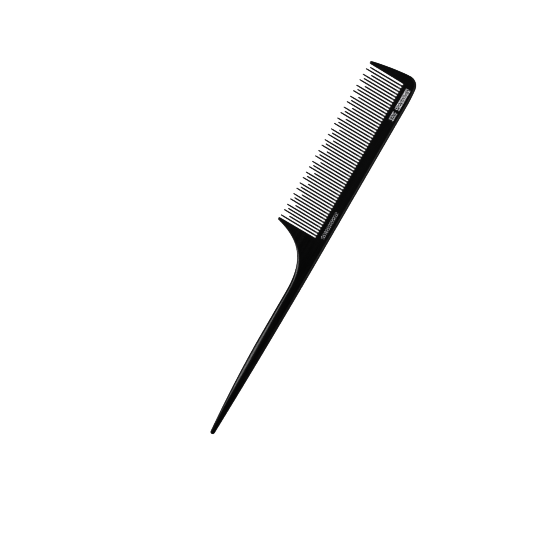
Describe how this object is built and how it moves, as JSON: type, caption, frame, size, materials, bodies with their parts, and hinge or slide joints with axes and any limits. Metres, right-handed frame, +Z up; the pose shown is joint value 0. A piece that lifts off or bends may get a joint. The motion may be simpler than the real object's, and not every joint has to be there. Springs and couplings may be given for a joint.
{
  "type": "rat tail comb",
  "caption": "Flat black plastic comb with a row of fine staggered teeth between two guards and a long slender tail tapering to a rounded point, for parting and teasing hair.",
  "frame": {"origin": "centre of the comb's outline in X and Y, on the surface that it lies on", "axes": "+X along the comb from the tail's point to the head, +Y from the back edge towards the tooth tips, +Z up through the thickness"},
  "size_m": [0.225, 0.0304, 0.004],
  "materials": {
    "black_plastic": "gloss",
    "silver_ink": "satin"
  },
  "bodies": {
    "root": {"tail": "black_plastic", "shoulder": "black_plastic", "spine": "black_plastic", "head_end": "black_plastic", "tooth_01": "black_plastic", "tooth_02": "black_plastic", "tooth_03": "black_plastic", "tooth_04": "black_plastic", "tooth_05": "black_plastic", "tooth_06": "black_plastic", "tooth_07": "black_plastic", "tooth_08": "black_plastic", "tooth_09": "black_plastic", "tooth_10": "black_plastic", "tooth_11": "black_plastic", "tooth_12": "black_plastic", "tooth_13": "black_plastic", "tooth_14": "black_plastic", "tooth_15": "black_plastic", "tooth_16": "black_plastic", "tooth_17": "black_plastic", "tooth_18": "black_plastic", "tooth_19": "black_plastic", "tooth_20": "black_plastic", "tooth_21": "black_plastic", "tooth_22": "black_plastic", "tooth_23": "black_plastic", "tooth_24": "black_plastic", "tooth_25": "black_plastic", "tooth_26": "black_plastic", "tooth_27": "black_plastic", "tooth_28": "black_plastic", "tooth_29": "black_plastic", "tooth_30": "black_plastic", "tooth_31": "black_plastic", "tooth_32": "black_plastic", "tooth_33": "black_plastic", "tooth_34": "black_plastic", "tooth_35": "black_plastic", "tooth_36": "black_plastic", "tooth_37": "black_plastic", "tooth_38": "black_plastic", "tooth_39": "black_plastic", "tooth_40": "black_plastic", "tooth_41": "black_plastic", "tooth_42": "black_plastic", "tooth_43": "black_plastic", "tooth_44": "black_plastic", "tooth_45": "black_plastic", "tooth_46": "black_plastic", "tooth_47": "black_plastic", "tooth_48": "black_plastic", "tooth_49": "black_plastic", "tooth_50": "black_plastic", "tooth_51": "black_plastic", "tooth_52": "black_plastic", "tooth_53": "black_plastic", "tooth_54": "black_plastic", "tooth_55": "black_plastic", "tooth_56": "black_plastic"}
  },
  "joints": []
}
